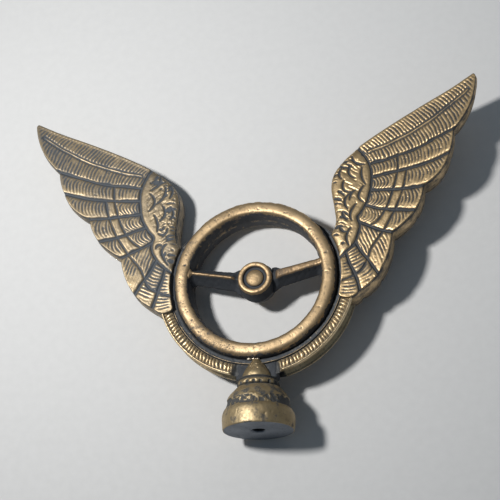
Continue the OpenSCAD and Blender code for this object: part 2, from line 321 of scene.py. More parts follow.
def brass(name, bright, dull, dark, gloss=0.44, grain=0.5):
    """Cast brass: bright where it is rubbed, dull where it isn't, dark where the patina sits and
    where shade is painted.
    """
    material = bpy.data.materials.new(name)
    material.use_nodes = True
    tree = material.node_tree
    shader = tree.nodes["Principled BSDF"]
    place = node(tree, "ShaderNodeTexCoord").outputs["Object"]

    def texture(scale, detail=4.0):
        made = node(tree, "ShaderNodeTexNoise")
        feed(tree, place, made.inputs["Vector"])
        feed(tree, scale, made.inputs["Scale"])
        feed(tree, detail, made.inputs["Detail"])
        return made.outputs["Fac"]

    patina_and_painted_shade = node(tree, "ShaderNodeAttribute", attribute_name="patina_and_painted_shade").outputs["Fac"]
    cloud = stretch(tree, texture(90), 0.36, 0.66, 0, 1)
    speck = stretch(tree, texture(900, 3), 0.56, 0.72, 0, 1)
    fine = stretch(tree, texture(2200, 3), 0.3, 0.7, 0, 0.3)
    tarnish = maths(tree, "MULTIPLY", cloud, 0.8)
    rubbed = colour_mix(tree, tarnish, bright, dull)
    edge = maths(tree, "SUBTRACT", maths(tree, "ADD", patina_and_painted_shade, fine), 0.15)
    stain = stretch(tree, edge, 0.15, 0.75, 0, 1)
    stained = maths(tree, "MAXIMUM", stain, maths(tree, "MULTIPLY", speck, 0.42))
    feed(tree, colour_mix(tree, stained, rubbed, dark), shader.inputs["Base Color"])
    feed(tree, stretch(tree, stained, 0, 1, 0.88, 0.35), shader.inputs["Metallic"])
    worn = maths(tree, "ADD", maths(tree, "MULTIPLY", tarnish, 0.12), gloss)
    feed(tree, maths(tree, "ADD", worn, maths(tree, "MULTIPLY", stained, 0.22)),
         shader.inputs["Roughness"])
    bump = node(tree, "ShaderNodeBump")
    feed(tree, grain, bump.inputs["Strength"])
    feed(tree, GRAIN_DEPTH, bump.inputs["Distance"])
    feed(tree, maths(tree, "ADD", texture(1500, 5), maths(tree, "MULTIPLY", speck, 0.5)),
         bump.inputs["Height"])
    feed(tree, bump.outputs["Normal"], shader.inputs["Normal"])
    return material


wing_brass = brass("wing_brass", (0.60, 0.435, 0.238), (0.385, 0.285, 0.163),
                   (0.058, 0.062, 0.068), gloss=0.37)
wing_brass_dull = brass("wing_brass_dull", (0.43, 0.334, 0.208), (0.28, 0.231, 0.166),
                        (0.092, 0.103, 0.118), gloss=0.45)
rim_brass = brass("rim_brass", (0.525, 0.38, 0.22), (0.345, 0.248, 0.143),
                  (0.060, 0.062, 0.068), gloss=0.46)
arm_brass = brass("arm_brass", (0.77, 0.61, 0.38), (0.54, 0.41, 0.245),
                  (0.066, 0.068, 0.070), gloss=0.36)
spider_brass = brass("spider_brass", (0.42, 0.295, 0.17), (0.29, 0.20, 0.12),
                     (0.048, 0.053, 0.062), gloss=0.48)
hoop_brass = brass("hoop_brass", (0.54, 0.42, 0.27), (0.38, 0.29, 0.18), (0.085, 0.092, 0.102))
hub_brass = brass("hub_brass", (0.60, 0.43, 0.25), (0.44, 0.305, 0.17), (0.048, 0.052, 0.060))
bell_brass = brass("bell_brass", (0.455, 0.355, 0.21), (0.29, 0.222, 0.125),
                   (0.074, 0.074, 0.072), gloss=0.50)
face_metal = brass("face_metal", (0.155, 0.175, 0.205), (0.10, 0.115, 0.14),
                   (0.022, 0.024, 0.028), gloss=0.45, grain=0.25)
solder_metal = brass("solder_metal", (0.66, 0.60, 0.50), (0.42, 0.35, 0.24), (0.05, 0.05, 0.05),
                     gloss=0.3, grain=0.8)


# ---- wing ----

# Lines of the right wing, as X and Z about the wheel centre. All of them down to INNER_ROW,
# apart from the root, are the lines of the CAD model. FEATHER_TIPS says where each feather
# tip of the trailing edge starts, and TIP_BULGE how far it bulges.
FEATHER_TIPS = np.array([[33.8, -11.3], [42.2, -9.7], [49.8, -3.5], [56, 13.3], [65.2, 20.5],
                         [69.6, 31.2], [80.7, 43.3], [82.9, 53], [93.3, 72.8]])
TIP_BULGE = [1.7, 0.6, 1.3, 0.6, 0.9, 2, 0.5, 2.1]
TIP_ROUND = [[93.5, 74.5], [93.2, 75.5]]
LEADING_EDGE = [[92.5, 76.1], [91.3, 75.9], [82, 71.5], [72, 67.4], [60, 61.9], [47.5, 55.2],
                [38.4, 48.9], [33, 42.4], [31.5, 36.2], [32.2, 29.5], [33, 22.5], [32.4, 18.6]]
ROOT_ANGLES = np.radians([117, 110, 103, 96, 89, 82, 75, 73])
GROOVES = [
    [[83.4, 53.6], [75, 50.7], [66, 47.5], [58, 45.9], [48.6, 44.3]],
    [[81, 43.6], [75, 41.8], [68.3, 40.3], [60.3, 39.4], [48.8, 38.4]],
    [[70.4, 31.3], [62, 31.3], [56, 31.8], [48, 32.5]],
    [[66, 21], [59, 22.2], [52.5, 23.8], [45.6, 26.2]],
    [[56.8, 13], [49.5, 15.9], [42.8, 19.4]],
    [[50.2, -4.4], [46, 2.6], [43, 7], [41.2, 10.6]],
    [[42.4, -10.4], [40.4, -3.6], [38.4, 1.8], [37.2, 7]],
]
RACHIS = [[89.5, 69.4], [82, 64.2], [74, 59.6], [66, 55.6], [58, 52.6], [48, 49.8]]
COVERT_EDGE = [[42.6, 53.4], [46.2, 47.8], [48, 43.2], [48.4, 38.5], [48, 33.5], [46.6, 28.8],
               [44.2, 24.4], [42.2, 21.6], [42.9, 18], [42.1, 14.2], [39.6, 9.6], [34.4, 5.4]]
OUTER_ROW = [[62.8, 39.4], [61.6, 33], [58.4, 24.6], [52.8, 15], [47.6, 8.4], [43.4, -0.6],
             [35.2, -4.6]]
INNER_ROW = [[59.6, 45.8], [58.9, 38], [55.8, 28], [51.2, 20], [46.6, 17]]

# Crescent cuts on the shoulder: the start, the middle and the end of each, right wing then left
CRESCENTS = {
    1: [[[41, 49], [42.5, 45.5], [46, 44.5]], [[40.5, 45], [39.5, 41.5], [42, 39]],
        [[45, 43.5], [44.5, 39.5], [46, 35.5]], [[45.5, 35], [43, 31], [45, 28]],
        [[40, 32.5], [37.5, 29.5], [38.5, 26]], [[42, 27.5], [39.5, 24], [40, 20.5]],
        [[39.5, 17.5], [37.5, 14], [38.5, 10]], [[37.5, 38.5], [37, 34.5], [40.5, 33]],
        [[35, 18.5], [36, 16.5], [37.5, 16]], [[36.5, 44], [35.5, 41.5], [36.5, 39.5]],
        [[42, 33.5], [40.5, 32.5], [39.5, 29.5]], [[36.5, 25], [37, 22.5], [38.5, 21.5]]],
    -1: [[[40, 49.5], [40.5, 45.5], [44, 43]], [[44, 41.5], [42, 37.5], [44.5, 33.5]],
         [[37.5, 44], [38, 39.5], [41.5, 36.5]], [[42, 31.5], [40.5, 28], [40.5, 24]],
         [[38.5, 35.5], [37.5, 31.5], [39.5, 28.5]], [[40, 23], [37.5, 22.5], [36, 25]],
         [[39.5, 25], [38.5, 24.5], [37.5, 26]], [[36.5, 18], [38.5, 14.5], [36, 9]],
         [[41, 16.5], [40, 18], [38.5, 17.5]], [[35.5, 44.5], [34.5, 41.5], [35.5, 38.5]],
         [[41, 48.5], [43, 46.5], [44, 46.5]], [[35, 34.5], [34, 31.5], [35.5, 29]]],
}

FIRST_FEATHER_WAY = [41.5, 19.6]  # the run of the longest feather, which no groove bounds above
SLANTED_FEATHER = 5  # the barbs of this feather run slantwise
SLANT = (0.45, 0.9)
BARB_PITCH = 1.42
BARB_BENDS = [0.02, 0.09, 0.09, 0.09, 0.09, 0.04, 0.04, 0.04]
MIDDLE_FEATHERS = (2, 3, 4)  # within the inner row their barbs bend more
INNER_BEND = 0.22
FIRST_LEAN = 0.18
FAR_OFF = 9  # stands for the distance to a line that doesn't count at a point
EDGE_INSET = 0.5
EDGE_ROUND = 0.5
SHOULDER_ROUND = 2.2
WALL_STEPS = 15
CELL = 0.31


def wing_front_back(x):
    """Y of the front and the back face of the wing slab at x."""
    faces = []
    for face in (-1, 1):
        drop = WING_SWEEP + face * WING_THINNING
        r = (WING_REACH**2 + drop**2) / (2 * drop)
        faces.append(face * WING_HALF_D - r + np.sqrt(r * r - (x - RIM_R) ** 2))
    return faces


def wing_outline():
    """The outline of the right wing, anticlockwise from the lowest feather."""
    line = []
    for a, b, bulge in zip(FEATHER_TIPS[:-1], FEATHER_TIPS[1:], TIP_BULGE):
        run = b - a
        out = np.array([run[1], -run[0]]) / np.linalg.norm(run)
        for t in np.arange(12) / 12:
            line.append(a + run * t + out * bulge * 4 * t * (1 - t))
    line += [FEATHER_TIPS[-1], *TIP_ROUND]
    line += list(smooth_line(LEADING_EDGE))
    line += [[ROOT_R * math.sin(a), -ROOT_R * math.cos(a)] for a in ROOT_ANGLES]
    return resample(np.array(line), 0.4, closed=True)


def side_normals(loop, reach):
    """Outward normals of a closed anticlockwise loop, averaged over a few points."""
    run = np.roll(loop, -reach, axis=0) - np.roll(loop, reach, axis=0)
    normal = np.stack([run[:, 1], -run[:, 0]], axis=1)
    return normal / np.linalg.norm(normal, axis=1, keepdims=True)


def feather_frames():
    """The root of each feather and the way it runs, from the longest feather down."""
    ends = [np.array(g[-1], float) for g in GROOVES]
    roots = [np.array(RACHIS[-1])] + [(a + b) / 2 for a, b in zip(ends[:-1], ends[1:])] + [ends[-1]]
    runs = [np.array(g[0]) - np.array(g[-1]) for g in GROOVES]
    ways = [np.array(FIRST_FEATHER_WAY)] + [a + b for a, b in zip(runs[:-1], runs[1:])] + [runs[-1]]
    return [(root, way / np.linalg.norm(way)) for root, way in zip(roots, ways)]


def barb_phase(q, feather, past_inner):
    """How far along its feather each point lies, less the lean and the bend of the barbs."""
    phase = np.zeros(len(q))
    for k, (root, ahead) in enumerate(feather_frames()):
        here = feather == k
        away = q[here] - root
        u = away @ ahead
        v = away @ np.array([-ahead[1], ahead[0]])
        bend = BARB_BENDS[k]
        if k in MIDDLE_FEATHERS:
            bend = np.where(past_inner[here], bend, INNER_BEND)
        lean = FIRST_LEAN if k == 0 else 0.0
        phase[here] = u + lean * v + bend * v * v
        if k == SLANTED_FEATHER:
            phase[here] = SLANT[0] * u + SLANT[1] * v
    return phase


def barb_strokes(p, xyz, phase, feather, seed):
    """Fine cuts across each feather, each one deeper or shallower than the next."""
    wander = 1.5 * noise(xyz, 2.8, seed + 2)
    wave = 0.5 + 0.5 * np.cos(2 * math.pi * phase / BARB_PITCH + wander)
    across = (p[:, 1] - 0.6 * p[:, 0]) * 0.22
    stroke = np.stack([phase / BARB_PITCH * 0.9, feather * 3.0, across], axis=1)
    return wave**2.2 * (0.55 + 0.45 * ramp(noise(stroke, 1, seed + 7), -0.7, 0.1))


def low_side(apart, feather):
    """0 on the upper half of a feather, 1 beside the groove under it, where the barbs fade."""
    each = np.arange(len(feather))
    last = len(apart) - 1
    above = np.where(feather > 0, apart[np.clip(feather - 1, 0, last), each], 0)
    beneath = np.where(feather <= last, apart[np.clip(feather, 0, last), each], FAR_OFF)
    return ramp(above / (above + beneath + 0.01), 0.5, 0.85)


def shoulder_cuts(p, q, xyz, edge, cov, side, seed):
    """The rounded shoulder: crescent cuts, short dashes beside the leading edge, and nicks."""
    depth = np.zeros(len(p))
    for crescent in CRESCENTS[side]:
        far, along, _ = near_line(q, bow(*crescent))
        middle = np.abs(2 * along / along.max() - 1)
        broad = 0.50 - 0.26 * middle**2
        depth = np.maximum(depth, 0.62 * hump(far, broad))
    lie = p + np.stack([noise(xyz, 4, seed + 11), noise(xyz, 4, seed + 12)], axis=1) * 0.9
    bent = lie[:, 1] + 0.22 * lie[:, 0] + 0.05 * (lie[:, 0] - 36) ** 2
    dash_at = np.stack([lie[:, 0] / 2.1, bent / 0.72, np.full(len(p), seed * 3.3)], axis=1)
    beside_edge = ramp(edge, 7.5, 4.5) * ramp(edge, 0.3, 1.0)
    crowd = np.maximum(beside_edge, 0.45 + 0.5 * noise(xyz, 5, seed + 13)) * ramp(cov, 2.2, 3.6)
    dashes = ramp(noise(dash_at, 1, seed + 15) + 0.25 * crowd, 0.30, 0.62) * np.clip(crowd, 0, 1)
    depth = np.maximum(depth, 0.42 * dashes)
    nicks = ramp(np.abs(noise(xyz, 1.6, seed + 16)), 0.12, 0.04)
    return depth + 0.14 * nicks * ramp(noise(xyz, 3.5, seed + 18), -0.1, 0.4) * ramp(cov, 2.2, 3.4)


def wing_relief(p, outline, side, seed):
    """How deep a face lies below the slab at points p, and how dark it is there."""
    xyz = np.stack([p[:, 0], np.zeros(len(p)) + seed * 7.0, p[:, 1]], axis=1)
    wobble = np.stack([noise(xyz, 5, seed), noise(xyz, 5, seed + 1)], axis=1) * 0.28
    q = p + wobble

    # where each point lies among the lines of the wing
    edge, _, _ = near_line(p, outline, closed=True)
    cov, _, cov_way = near_line(q, smooth_line(COVERT_EDGE))
    covert = cov_way < 0
    lines = [near_line(q, smooth_line(g)) for g in GROOVES]
    apart = np.array([far for far, _, _ in lines])
    feather = np.array([way > 0 for _, _, way in lines]).sum(0)
    gap = np.where(covert, FAR_OFF, apart.min(0))
    rachis, _, rachis_way = near_line(q, smooth_line(RACHIS))
    outer, _, outer_way = near_line(q, smooth_line(OUTER_ROW))
    inner, _, inner_way = near_line(q, smooth_line(INNER_ROW))
    rows_here = ~covert & (feather >= 2)
    outer = np.where(rows_here, outer, FAR_OFF)
    inner = np.where(~covert & (feather >= 1) & (feather <= 4), inner, FAR_OFF)
    free = np.minimum(gap, np.minimum(outer, inner))
    free = np.where(feather == 0, np.minimum(free, rachis), free)
    free = np.minimum(free, cov)

    # where the barbs show, and how strongly
    strokes = barb_strokes(p, xyz, barb_phase(q, feather, inner_way > 0), feather, seed)
    patchy = ramp(noise(xyz, 3.2, seed + 5), -0.85, 0.0)
    shown = ramp(free, 0.3, 1.2) * ramp(edge, 0.8, 2.4) * (0.62 + 0.38 * patchy)
    band = (outer_way < 0) & (inner_way > 0) & rows_here & (feather <= 4)
    shown = np.where(band, shown * 0.15, shown)
    outside = (feather > 0) & ((outer_way > 0) | (feather == 1))
    shown = np.where(outside, shown * (1 - 0.75 * low_side(apart, feather)), shown)
    shown = np.where(covert, 0, shown)

    # depth of the grooves, rows, rachis and barbs, and of the cuts on the shoulder
    cuts = shoulder_cuts(p, q, xyz, edge, cov, side, seed)
    uneven = 1 + 0.30 * noise(xyz, 2.6, seed + 26) + 0.18 * noise(xyz, 0.9, seed + 27)
    deep = 0.74 * hump(gap, 0.60 * uneven) + 0.08 * hump(gap, 1.6)
    deep = np.maximum(deep, 0.85 * hump(cov, 0.62) * np.where(covert, 0.6, 1))
    shaft = np.where((feather == 0) & ~covert, rachis, FAR_OFF)
    deep = np.maximum(deep, 0.52 * hump(shaft - 0.62, 0.30))
    deep = np.maximum(deep, 0.58 * hump(np.minimum(outer, inner), 0.44 * uneven))
    barbs = strokes * shown * (1 - ramp(deep, 0.1, 0.4))
    depth = np.where(covert, np.maximum(deep, cuts), deep + 0.29 * barbs)

    # rounded edges, feathers that dome between their grooves, and casting flaws
    dome = np.where(covert, 0.35 * np.exp(-cov / 2.2), 0.25 * np.exp(-free / 0.8))
    rounding = EDGE_ROUND * (1 - np.sqrt(1 - np.clip(1 - edge / 0.9, 0, 1) ** 2))
    shoulder = 1 - np.sqrt(1 - np.clip(1 - edge / 4.2, 0, 1) ** 2.6)
    rounding += np.where(covert, SHOULDER_ROUND, 0) * shoulder
    weld = ramp(cov, 0.0, 2.5)
    welded = rounding * weld + (1 - weld) * np.minimum(rounding, EDGE_ROUND)
    rounding = np.where(covert, welded, rounding)
    holes = pits(xyz, 0.9, seed + 17, 0.70)
    lumps = 0.045 * rough(xyz, 2.2, seed + 14) + 0.14 * holes
    total = np.maximum(depth + 0.5 * dome + 0.10 + lumps + rounding, 0.02 + rounding)

    # patina: in every cut, in blots, in holes, and less of it along the rubbed edge
    blot = 0.16 * noise(xyz, 1.1, seed + 29)
    stain = 0.95 * ramp(np.where(covert, depth, deep) + blot * (deep > 0.05), 0.10, 0.46)
    stain = darkest(stain, 0.86 * ramp(barbs + blot, 0.20, 0.66))
    stain += np.where(covert, 0.14 * ramp(edge, 8, 3), 0.06)
    stain += 0.16 * ramp(rough(xyz, 3.0, seed + 20), 0.1, 1.0)
    patch = ramp(noise(xyz, 7, seed + 23), 0.15, 0.65) * np.where(covert, 0.3, 1)
    stain += 0.42 * patch * (0.25 + hump(np.minimum(free, gap), 1.3))
    stain += 0.5 * holes
    stain -= 0.12 * ramp(edge, 2.2, 0.8)
    if side < 0:
        tip = ramp(p[:, 0] + 4 * noise(xyz, 6, seed + 31), 70, 84)
        stain += 0.30 * tip * (rachis_way > 0)
    return total, stain


def wing_mesh(rim_line):
    """Points and triangles that fill the rim line, and where its own points are among them."""
    span = [np.arange(rim_line[:, k].min(), rim_line[:, k].max(), CELL) for k in range(2)]
    mesh_x, mesh_z = np.meshgrid(*span)
    mesh_x[::2] += CELL / 2
    fill = np.stack([mesh_x.ravel(), mesh_z.ravel()], axis=1)
    fill = fill[inside(fill, rim_line)]
    away, _, _ = near_line(fill, rim_line, closed=True)
    flat = np.vstack([rim_line, fill[away > CELL * 0.55]])
    count = len(rim_line)
    made = delaunay_2d_cdt([Vector(p) for p in flat], [], [list(range(count))], 1, 1e-7)
    where = np.array([tuple(v) for v in made[0]])
    triangles = np.array(made[2])
    a, b, c = (where[triangles[:, k]] for k in range(3))
    turn = (b - a)[:, 0] * (c - a)[:, 1] - (b - a)[:, 1] * (c - a)[:, 0]
    triangles[turn < 0] = triangles[turn < 0][:, ::-1]
    ids = [next(iter(o), -1) for o in made[3]]
    new_of = {old: new for new, old in enumerate(ids) if 0 <= old < count}
    return where, triangles, np.array([new_of[i] for i in range(count)])


def build_wing(name, side):
    """One wing: relief on both faces, joined by drafted side walls. side is 1 or -1."""
    outline = wing_outline()
    rim_line = outline - side_normals(outline, 2) * EDGE_INSET
    rim_line = resample(rim_line, 0.4, closed=True)
    where, triangles, loop = wing_mesh(rim_line)
    total, count = len(where), len(loop)
    parts, darks = [], []
    for face, seed, y in zip((-1, 1), (40, 60), wing_front_back(where[:, 0])):
        depth, stain = wing_relief(where, outline, side, seed + side)
        parts.append(np.stack([where[:, 0], y - face * depth, where[:, 1]], axis=1))
        darks.append(stain)

    # side wall: rings from the front edge over the parting plane to the back edge
    outward = side_normals(rim_line, 2)
    t = (np.arange(1, WALL_STEPS) / WALL_STEPS)[:, None]
    wall = parts[0][loop] * (1 - t[..., None]) + parts[1][loop] * t[..., None]
    wall[..., ::2] += outward * (EDGE_INSET * (1 - abs(2 * t - 1) ** 1.6))[..., None]
    seam = np.abs(t - 0.5)
    dent = 0.10 * rough(wall, 2.0, 90 + side) - 0.10 * pits(wall, 0.9, 95 + side, 0.6)
    dent = np.minimum(dent + 0.10 * hump(seam, 0.05) - 0.08, 0.0)
    wall[..., ::2] += outward * dent[..., None]
    gloom = 0.38 + 0.55 * hump(seam - 0.40, 0.05) + 0.30 * rough(wall, 2.0, 97)
    gloom = gloom - 0.2 * hump(seam, 0.06)

    points = np.vstack([*parts, wall.reshape(-1, 3)])
    dark = np.concatenate([*darks, gloom.reshape(-1)])
    faces = triangles.tolist() + (triangles[:, ::-1] + total).tolist()
    rings = [loop] + [2 * total + np.arange(count) + s * count for s in range(WALL_STEPS - 1)]
    rings.append(loop + total)
    for upper, lower in zip(rings[:-1], rings[1:]):
        ahead_upper, ahead_lower = np.roll(upper, -1), np.roll(lower, -1)
        faces += np.stack([upper, lower, ahead_lower, ahead_upper], axis=1).tolist()
    points[:, 0] *= side
    points[:, 2] += WHEEL_Z
    return make_piece(name, points, faces, dark, wing_brass if side > 0 else wing_brass_dull)


# ---- turned and swept pieces ----


def swept(loop_ry, angles):
    """Points of a section (radius, Y) swept about the wheel axis, with 0 straight down."""
    r, y = loop_ry[..., 0], loop_ry[..., 1]
    x = r * np.sin(angles)[:, None]
    z = WHEEL_Z - r * np.cos(angles)[:, None]
    return np.stack([x, np.broadcast_to(y, x.shape), z], axis=-1)


def turned(profile, angles):
    """Points of a profile (radius, Z) turned about the Z axis, one row per angle."""
    x = profile[:, 0] * np.cos(angles)[:, None]
    y = profile[:, 0] * np.sin(angles)[:, None]
    z = np.broadcast_to(profile[:, 1], x.shape)
    return np.stack([x, y, z], axis=-1)


def full_turn(count):
    """Evenly spaced angles all the way round."""
    return np.arange(count) * 2 * math.pi / count


def mirrored(half, closed=True):
    """A section from one half and the mirror image of that half in the second coordinate."""
    back = (half * [1, -1])[::-1][1:]
    return np.vstack([half, back[:-1] if closed else back])


def spread(points, radius, shift):
    """Moves turned points away from the Z axis by the shift."""
    points[..., :2] *= (1 + shift / np.maximum(radius, 1.0))[..., None]


def build_rim():
    """The rim: a broad soft crown on each face, with patina left on its walls and painted shade
    towards its lower left.
    """
    crown = RIM_HALF_W - 0.1
    crown_h = crown * 1.08
    arc = np.linspace(0, math.pi, 29)
    wide = np.sign(np.cos(arc)) * np.abs(np.cos(arc)) ** 0.70
    high = np.sin(arc) ** 0.66
    front = np.stack([crown * wide, crown_h * (1 - high) - (RIM_HALF_D - 0.1)], axis=1)
    section = np.vstack([[[RIM_HALF_W, 0.3]], [[RIM_HALF_W, -0.3]], front,
                         [[-RIM_HALF_W, -0.3]], [[-RIM_HALF_W, 0.3]], -front])
    section = resample(section, 0.42, closed=True)
    loop = section + np.array([RIM_R, 0])
    angles = full_turn(640)
    points = swept(loop, angles)
    normals = outward_normals(points, swept(np.array([[RIM_R, 0.0]]), angles), True, True)
    side = loop[:, 0] - RIM_R
    height = loop[:, 1]
    inner = ramp(side, -2.0, -2.8)
    outer = ramp(side, 1.8, 2.8)
    lumps = 0.07 * rough(points, 5, 3) - 0.10 * inner * (1 + rough(points, 1.5, 5))
    seam = hump(height, 0.9) * inner
    bare = seam * np.clip(0.45 + 0.6 * rough(points, 3.2, 8), 0, 1)
    holes = np.maximum(pits(points, 0.9, 12, 0.70), pits(points, 0.6, 14, 0.74))
    wavy = 0.16 * outer * rough(points, 1.8, 17)
    shift = np.minimum(lumps - 0.08 + wavy, 0) + 0.35 * bare - 0.18 * holes
    points = points + normals * shift[..., None]
    shade = 0.32 * rough(points, 5, 21) + 0.34 * rough(points, 1.3, 22)
    stain = 0.85 * ramp(-side + shade, 2.3, 3.1) * (1 - 0.8 * bare)
    stain += 0.85 * ramp(side + 1.1 * shade, 2.35, 3.1)
    grime = ramp(noise(points, 0.75, 24) + 0.35 * np.abs(side) / crown, 0.55, 0.95)
    stain += 0.30 * ramp(rough(points, 2.6, 23), 0.0, 1.1) + 0.6 * holes + 0.35 * grime
    # painted shade: the rim is painted darker towards its lower left, where the light on it is
    # duller, by adding to its patina value
    painted_shade_axis = points[..., 0] * 0.85 + (points[..., 2] - WHEEL_Z) * 0.5
    stain += 0.20 * ramp(painted_shade_axis / RIM_R, -0.1, -0.9)
    return grid_piece("rim_casting", points, stain, rim_brass, True, True)


def build_arms():
    """The ribbed crescent: gadroons between a channel and a plain lip, on both faces."""
    reach = math.radians(73.6)
    pitch = math.radians(2.32)
    web_out, web_in = math.radians(15.6), math.radians(12.2)
    rib_middle, rib_half = 37.5, 1.8
    arm_half_d, web_half_d = 4.98, 2.75
    angles = np.linspace(-reach, reach, 1300)
    half = [  # radius and Y
        (RIB_IN_R - 0.1, 0.0), (RIB_IN_R - 0.1, -2.2), (RIB_IN_R, -3.1), (RIB_IN_R + 0.2, -3.8),
        (RIB_IN_R + 0.6, -4.3), (37.4, -4.6), (LIP_IN_R - 0.35, -4.45), (LIP_IN_R, -4.0),
        (LIP_IN_R + 0.12, -4.0), (LIP_IN_R + 0.25, -4.6), (LIP_IN_R + 0.45, -4.85),
        (LIP_IN_R + 0.7, -4.85), (LIP_IN_R + 0.95, -4.5), (LIP_IN_R + 1.1, -3.6),
        (CRADLE_R - 0.2, -2.4), (CRADLE_R - 0.06, -1.2), (CRADLE_R, 0.0),
    ]
    loop = mirrored(resample(np.array(half), 0.22))
    points = swept(loop, angles)
    radius, face = loop[:, 0], np.sign(loop[:, 1])
    tall = np.abs(loop[:, 1])
    side = np.abs(angles)[:, None]
    lean = 0.30 * (radius - 37.3) / 2
    wander = 0.38 * noise(points, 4, 31) + 0.13 * noise(points, 1.4, 32)
    wave = np.abs(np.sin(math.pi * (side / pitch + lean + wander)))
    field = ramp(radius, RIB_IN_R + 0.1, RIB_IN_R + 0.5)
    field = field * ramp(radius, LIP_IN_R, LIP_IN_R - 0.35) * ramp(tall, 3.0, 3.9)
    ends = np.clip(((radius - rib_middle) / rib_half) ** 4, 0, 1)
    web = ramp(side, web_out, web_in)
    uneven = 0.75 + 0.35 * noise(points, 1.7, 34)
    gap_depth = 0.85 * (1 - wave**0.55) + 0.3 * ends + 0.35 * (1 - uneven)
    rise = -field * gap_depth * (1 - web)
    lumps = 0.05 * rough(points, 1.6, 33) - 0.10 * pits(points, 0.9, 36, 0.6)
    flat = web * ramp(tall, 2.0, 2.8)
    depth = np.abs(points[..., 1]) + rise + lumps * ramp(tall, 1, 3)
    depth = depth * (1 - flat) + (web_half_d + 0.15 * rough(points, 1.5, 38)) * flat
    points[..., 1] = face * np.minimum(depth, arm_half_d)
    gaps = ramp(wave, 0.55, 0.15) * field
    channel = ramp(radius, RIB_IN_R + 0.5, RIB_IN_R + 0.15)
    groove = hump(radius - LIP_IN_R, 0.2) * ramp(tall, 3, 3.6)
    outside = ramp(tall, 4.3, 3.2) * ramp(radius, LIP_IN_R, LIP_IN_R + 0.6) * 0.5
    gaps = np.maximum(gaps, 0.7 * field * ends * ramp(noise(points, 1.6, 43), -0.3, 0.3))
    beside_web = 0.8 * ramp(side - 0.02 * noise(points, 2, 45), 0.285, 0.235)
    stain = darkest(0.75 * gaps, channel, 0.85 * groove, outside, 0.95 * web, beside_web)
    stain += 0.22 * ramp(rough(points, 2.0, 41), 0.1, 1.1)
    return grid_piece("cradle_arms", points, stain, arm_brass, False, True, caps=True)


# The two ends of a gusset's top edge, as X and Z about the wheel centre
GUSSET_TOP = [[25.5, 22], [31.5, 17.5]]


def build_hoop():
    """The hoop between rim and ribs, and the gussets that run on along the rim above it."""
    reach, gusset_from, gusset_full = np.radians([142.2, 116.6, 119.6])
    angles = np.linspace(-reach, reach, 1100)
    inner, outer, gusset_out = HOOP_IN_R, RIB_IN_R - 0.05, 37.3
    half = [(inner, 0.0), (inner, -2.6), (inner + 0.5, -3.2), (inner + 1.2, -3.4),
            (35.0, -3.6), (35.12, -4.05), (35.3, -4.15), (35.5, -3.6), (outer, -2.8), (outer, 0.0)]
    loop = mirrored(resample(np.array(half), 0.2))
    side = np.abs(angles)[:, None]
    line = np.array(GUSSET_TOP[0]) - np.array(GUSSET_TOP[1])
    away = np.array([-line[1], line[0]]) / np.linalg.norm(line)
    away = away * np.sign(away @ GUSSET_TOP[0])
    edge = (away @ GUSSET_TOP[0]) / np.maximum(away[0] * np.sin(side) - away[1] * np.cos(side), 0.5)
    past = ramp(side, gusset_from, gusset_full)
    grown = outer + (np.minimum(edge, gusset_out) - outer) * past
    across = (loop[:, 0] - inner) / (outer - inner)
    radius = inner + across * (np.maximum(grown, inner + 0.05) - inner)
    thin = 1 - 0.3 * past - 0.5 * ramp(side, *np.radians([120, 142]))
    y = loop[:, 1] * thin
    points = swept(np.stack([radius, y], axis=-1), angles)
    tall = np.abs(loop[:, 1])
    lumps = 0.22 * rough(points, 1.3, 51) * ramp(tall, 1.5, 2.4)
    ridge = ramp(tall, 3.85, 4.08) * (1 - past)
    points[..., 1] += np.sign(y) * np.minimum(lumps * (1 - 0.6 * ridge), 0.05)
    stain = 0.85 - 0.65 * ridge * ramp(noise(points, 3, 55), -0.8, 0.0)
    stain -= 0.25 * ramp(rough(points, 1.2, 57), 0.2, 0.9)
    return grid_piece("cradle_hoop", points, stain, hoop_brass, False, True, caps=True)


def build_stem():
    """The plain stem under the hoop, with its top following the rim."""
    wide, deep, corner = 8.1, 2.8, 0.9
    arc = np.linspace(0, math.pi / 2, 7)
    quarter = np.stack([np.cos(arc), np.sin(arc)], axis=1) * corner + [wide - corner, deep - corner]
    right = np.vstack([(quarter * [1, -1])[::-1], quarter])
    section = resample(np.vstack([right, (right * [-1, 1])[::-1]]), 0.4, closed=True)
    levels = np.linspace(0, 1, 40)
    x = np.broadcast_to(section[:, 0], (len(levels), len(section)))
    roof = WHEEL_Z - np.sqrt(HOOP_IN_R**2 - x**2) - 0.15
    z = COLLAR_TOP + 0.02 + levels[:, None] * (roof - COLLAR_TOP)
    points = np.stack([x, np.broadcast_to(section[:, 1], x.shape), z], axis=-1)
    normals = outward_normals(points, points * [0, 0, 1], False, True)
    lumps = np.clip(0.22 * rough(points, 1.5, 61) - 0.15, -0.5, 0.0)
    points = points - normals * lumps[..., None]
    stain = 0.92 + 0.25 * rough(points, 1.6, 64)
    return grid_piece("cradle_stem", points, stain, spider_brass, False, True, caps=True)


